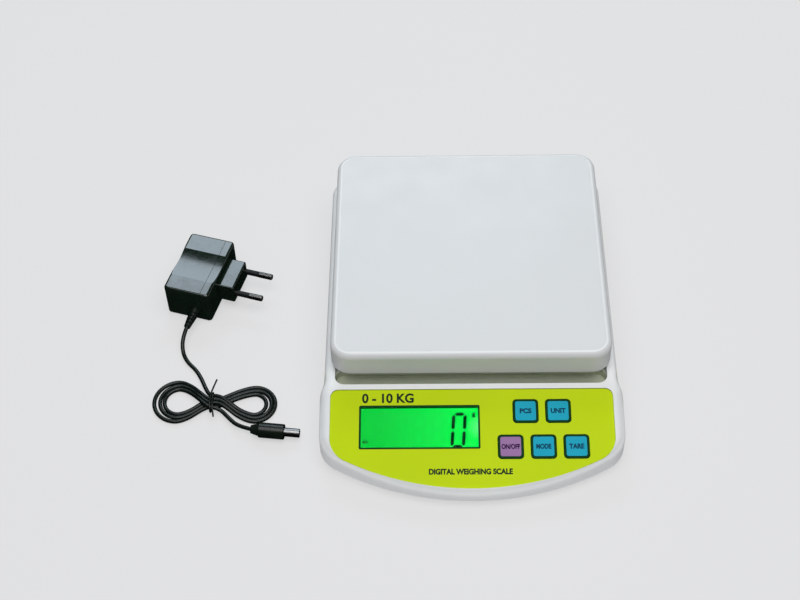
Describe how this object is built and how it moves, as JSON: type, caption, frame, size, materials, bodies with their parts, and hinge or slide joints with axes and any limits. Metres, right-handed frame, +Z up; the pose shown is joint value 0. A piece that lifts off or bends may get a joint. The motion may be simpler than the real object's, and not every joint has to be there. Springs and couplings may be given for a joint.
{
  "type": "digital gram scale",
  "caption": "Desktop digital gram scale: square white weighing tray on a white base, lime panel with backlit display and keys, with its plug-in power adapter.",
  "frame": {"origin": "on the table at the middle of the scale's own footprint, without the adapter", "axes": "+Z up, +X to the user's right, -Y toward the user, who faces the control panel"},
  "size_m": [0.293, 0.2462, 0.05],
  "materials": {
    "white_abs": "satin white moulded ABS",
    "white_abs_base": "fine-textured white moulded ABS",
    "lime_overlay": "printed lime-green polycarbonate film",
    "dark_bezel": "dark green-black frame",
    "clear_window": "clear acrylic",
    "lcd_green": "backlit green liquid crystal cell",
    "light_guide": "diffusing light guide",
    "board_green": "solder mask on glass-fibre board",
    "ic_black": "moulded epoxy",
    "connector_white": "natural nylon",
    "aluminium": "milled",
    "steel_zinc": "zinc-plated",
    "nickel": "nickel-plated",
    "gauge_sealant": "white silicone sealant",
    "grey_rubber": "soft rubber foot",
    "cell_wrap": "plain battery wrap with copper band",
    "lead_grey": "PVC-insulated internal lead",
    "key_rubber": "dark key surround",
    "key_blue": "printed blue key face",
    "key_purple": "printed purple key face",
    "adapter_black": "glossy black polycarbonate",
    "sleeve_black": "black pin sleeve",
    "ferrite": "ferrite core and taped winding",
    "cord_black": "black PVC cord",
    "insulator_black": "black plug insulator"
  },
  "bodies": {
    "scale_base": {"top_housing": "white_abs_base", "bottom_cover": "white_abs_base", "panel_overlay": "lime_overlay", "lcd_bezel": "dark_bezel", "lcd_window": "clear_window", "lcd_glass": "lcd_green", "lcd_backlight": "light_guide", "main_board": "board_green", "board_screws": "steel_zinc", "board_connectors": "connector_white", "controller_chip": "ic_black", "tact_switches": "ic_black", "dc_jack": "ic_black", "dc_jack_pin": "nickel", "load_cell": "aluminium", "load_cell_shim": "aluminium", "strain_gauges": "gauge_sealant", "load_cell_screws": "steel_zinc", "overload_stop_screw": "steel_zinc", "housing_screws": "steel_zinc", "rubber_feet": "grey_rubber", "battery_cells": "cell_wrap", "battery_contacts": "nickel", "battery_springs": "nickel", "gauge_lead": "lead_grey", "battery_lead": "lead_grey", "power_lead": "lead_grey"},
    "platform": {"platform_cover": "white_abs", "platform_support": "white_abs_base", "load_plate": "steel_zinc", "load_plate_spacer": "aluminium", "load_plate_screws": "steel_zinc", "platform_screws": "steel_zinc"},
    "battery_door": {"battery_door": "white_abs_base"},
    "adapter": {"adapter_rear_case": "adapter_black", "adapter_front_case": "adapter_black", "adapter_pins": "nickel", "adapter_pin_sleeves": "sleeve_black", "adapter_board": "board_green", "adapter_transformer": "ferrite", "adapter_capacitors": "ic_black", "cord_strain_relief": "cord_black", "cord_adapter_run": "cord_black", "cord_hank": "cord_black", "cord_plug_run": "cord_black", "twist_tie": "cord_black", "dc_plug_overmold": "cord_black", "dc_plug_barrel": "nickel", "dc_plug_insulator": "insulator_black"},
    "key_pcs": {"key_pcs": "key_rubber", "key_pcs_label": "key_blue"},
    "key_unit": {"key_unit": "key_rubber", "key_unit_label": "key_blue"},
    "key_on_off": {"key_on_off": "key_rubber", "key_on_off_label": "key_purple"},
    "key_mode": {"key_mode": "key_rubber", "key_mode_label": "key_blue"},
    "key_tare": {"key_tare": "key_rubber", "key_tare_label": "key_blue"}
  },
  "joints": [
    {"name": "platform_load", "type": "slide", "parent": "scale_base", "child": "platform", "axis": [0, 0, -1], "range_m": [0, 0.0004], "stiffness_N_per_m": 40000, "deforming": ["load_cell"]},
    {"name": "battery_door_hinge", "type": "hinge", "parent": "scale_base", "child": "battery_door", "pos_m": [0, 0.0742, 0.0049], "axis": [-1, 0, 0], "range_deg": [0, 85]},
    {"name": "adapter_lift", "type": "slide", "parent": "scale_base", "child": "adapter", "axis": [0, 0, 1], "range_m": [0, 0.1]},
    {"name": "key_pcs_press", "type": "slide", "parent": "scale_base", "child": "key_pcs", "axis": [0, 0.225, -0.9744], "range_m": [0, 0.00035], "stiffness_N_per_m": 1500},
    {"name": "key_unit_press", "type": "slide", "parent": "scale_base", "child": "key_unit", "axis": [0, 0.225, -0.9744], "range_m": [0, 0.00035], "stiffness_N_per_m": 1500},
    {"name": "key_on_off_press", "type": "slide", "parent": "scale_base", "child": "key_on_off", "axis": [0, 0.225, -0.9744], "range_m": [0, 0.00035], "stiffness_N_per_m": 1500},
    {"name": "key_mode_press", "type": "slide", "parent": "scale_base", "child": "key_mode", "axis": [0, 0.225, -0.9744], "range_m": [0, 0.00035], "stiffness_N_per_m": 1500},
    {"name": "key_tare_press", "type": "slide", "parent": "scale_base", "child": "key_tare", "axis": [0, 0.225, -0.9744], "range_m": [0, 0.00035], "stiffness_N_per_m": 1500}
  ]
}
